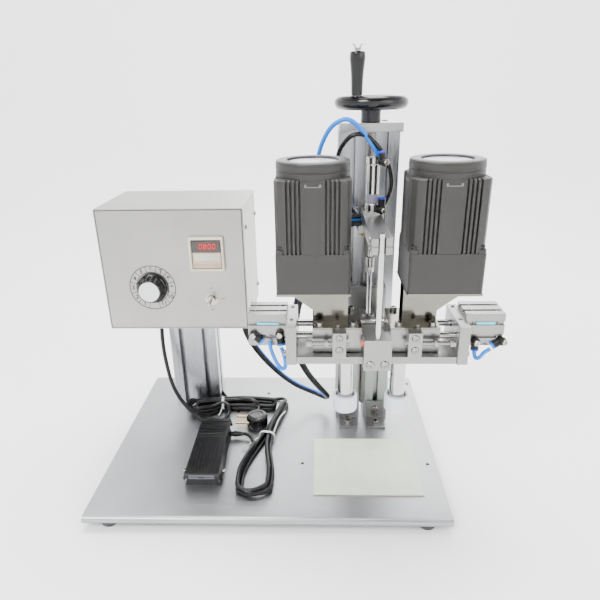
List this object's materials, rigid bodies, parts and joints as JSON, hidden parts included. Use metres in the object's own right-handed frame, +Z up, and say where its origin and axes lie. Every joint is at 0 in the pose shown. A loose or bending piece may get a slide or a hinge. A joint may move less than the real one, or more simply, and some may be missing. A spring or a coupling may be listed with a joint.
{
  "type": "capping machine",
  "caption": "Desk-top bottle capping machine: two driven grip rollers on a height-adjustable head, with a control box, foot pedal and cords.",
  "frame": {"origin": "on the surface the rubber feet stand on, under the middle of the machine's outline", "axes": "+Z up, +X to the operator's right, -Y towards the operator"},
  "size_m": [0.5584, 0.374, 0.606],
  "materials": {
    "plate_aluminium": "brushed",
    "machined_aluminium": "bead blasted",
    "anodised_profile": "satin anodised",
    "stainless_sheet": "brushed",
    "chrome": "polished",
    "steel": "machined",
    "black_steel": "black oxide",
    "brass": "turned",
    "motor_paint": "painted semi-gloss grey",
    "black_plastic": "gloss",
    "pedal_plastic": "satin",
    "cream_plastic": "satin",
    "pad_rubber": "matte",
    "foot_rubber": "matte",
    "roller_urethane": "satin",
    "cord_pvc": "satin",
    "circuit_board": "satin"
  },
  "bodies": {
    "base": {"base_plate": "plate_aluminium", "rubber_feet": "foot_rubber", "bottle_pad": "pad_rubber", "main_column": "anodised_profile", "column_top_plate": "machined_aluminium", "screw_bearing": "steel", "foot_brackets": "machined_aluminium", "box_column": "anodised_profile", "control_box": "stainless_sheet", "control_panel": "stainless_sheet", "timer": "cream_plastic", "panel_controls": "chrome", "control_board": "circuit_board", "air_valves": "machined_aluminium", "pedal_base": "pedal_plastic", "pedal_pin": "steel", "pedal_spring": "steel", "pedal_gland": "pedal_plastic", "pedal_cord": "cord_pvc", "pedal_cord_hank": "cord_pvc", "mains_cord": "cord_pvc", "mains_cord_hank": "cord_pvc", "mains_plug": "black_plastic", "service_hose": "cord_pvc"},
    "knob": {"torque_knob": "black_plastic"},
    "toggle": {"toggle_lever": "chrome"},
    "pedal": {"pedal_tread": "pedal_plastic"},
    "screw": {"lead_screw": "black_steel", "handwheel": "black_plastic"},
    "crank_grip": {"handwheel_grip": "black_plastic"},
    "lift": {"lift_block": "machined_aluminium", "lead_nut": "brass", "lift_clamp": "machined_aluminium", "lift_arm": "machined_aluminium", "press_cylinder": "steel"},
    "head": {"head_plate": "machined_aluminium", "end_plates": "machined_aluminium", "guide_rods": "chrome", "centre_block": "machined_aluminium", "press_rod": "chrome", "head_guide_block": "machined_aluminium", "grip_cylinders": "machined_aluminium"},
    "left_carriage": {"left_carriage_block": "machined_aluminium", "left_motor_bracket": "stainless_sheet", "left_gearhead": "motor_paint", "left_motor": "motor_paint", "left_stop": "machined_aluminium", "left_grip_rod": "chrome"},
    "left_drive": {"left_drive_gear": "steel"},
    "left_roller": {"left_spindle": "chrome", "left_roller": "roller_urethane"},
    "right_carriage": {"right_carriage_block": "machined_aluminium", "right_motor_bracket": "stainless_sheet", "right_gearhead": "motor_paint", "right_motor": "motor_paint", "right_stop": "machined_aluminium", "right_grip_rod": "chrome"},
    "right_drive": {"right_drive_gear": "steel"},
    "right_roller": {"right_spindle": "chrome", "right_roller": "roller_urethane"}
  },
  "joints": [
    {"name": "lift_slide", "type": "slide", "parent": "base", "child": "lift", "axis": [0, 0, 1], "range_m": [-0.06, 0.04], "deforming": ["service_hose"]},
    {"name": "handwheel_turn", "type": "hinge", "parent": "base", "child": "screw", "pos_m": [0.11525, 0.04, 0.536], "axis": [0, 0, 1], "range_deg": [-7205, 4805]},
    {"name": "grip_spin", "type": "hinge", "parent": "screw", "child": "crank_grip", "pos_m": [0.09292, 0.00562, 0.571], "axis": [0, 0, 1], "continuous": true},
    {"name": "press_slide", "type": "slide", "parent": "lift", "child": "head", "axis": [0, 0, 1], "range_m": [-0.018, 0]},
    {"name": "left_grip_slide", "type": "slide", "parent": "head", "child": "left_carriage", "axis": [1, 0, 0], "range_m": [-0.012, 0.013]},
    {"name": "right_grip_slide", "type": "slide", "parent": "head", "child": "right_carriage", "axis": [-1, 0, 0], "range_m": [-0.002, 0.013]},
    {"name": "left_roller_spin", "type": "hinge", "parent": "left_carriage", "child": "left_roller", "pos_m": [0.07925, -0.089, 0.182], "axis": [0, 0, 1], "continuous": true},
    {"name": "left_drive_spin", "type": "hinge", "parent": "left_carriage", "child": "left_drive", "pos_m": [0.05425, -0.089, 0.282], "axis": [0, 0, 1], "continuous": true},
    {"name": "right_roller_spin", "type": "hinge", "parent": "right_carriage", "child": "right_roller", "pos_m": [0.15125, -0.089, 0.182], "axis": [0, 0, 1], "continuous": true},
    {"name": "right_drive_spin", "type": "hinge", "parent": "right_carriage", "child": "right_drive", "pos_m": [0.17625, -0.089, 0.282], "axis": [0, 0, 1], "continuous": true},
    {"name": "knob_turn", "type": "hinge", "parent": "base", "child": "knob", "pos_m": [-0.18925, -0.043, 0.299], "axis": [0, -1, 0], "range_deg": [-135, 135]},
    {"name": "toggle_tilt", "type": "hinge", "parent": "base", "child": "toggle", "pos_m": [-0.10725, -0.041, 0.282], "axis": [1, 0, 0], "range_deg": [-7, 7]},
    {"name": "pedal_press", "type": "hinge", "parent": "base", "child": "pedal", "pos_m": [-0.12625, -0.104, 0.033], "axis": [1, 0, 0], "range_deg": [-5.5, 0], "stiffness_Nm_per_rad": 3, "springref_deg": 6.88}
  ],
  "couplings": [
    {"joint": "handwheel_turn", "follows": "lift_slide", "rad_per_m": 2094.4},
    {"joint": "left_drive_spin", "follows": "left_roller_spin", "ratio": -1},
    {"joint": "right_drive_spin", "follows": "right_roller_spin", "ratio": -1}
  ]
}
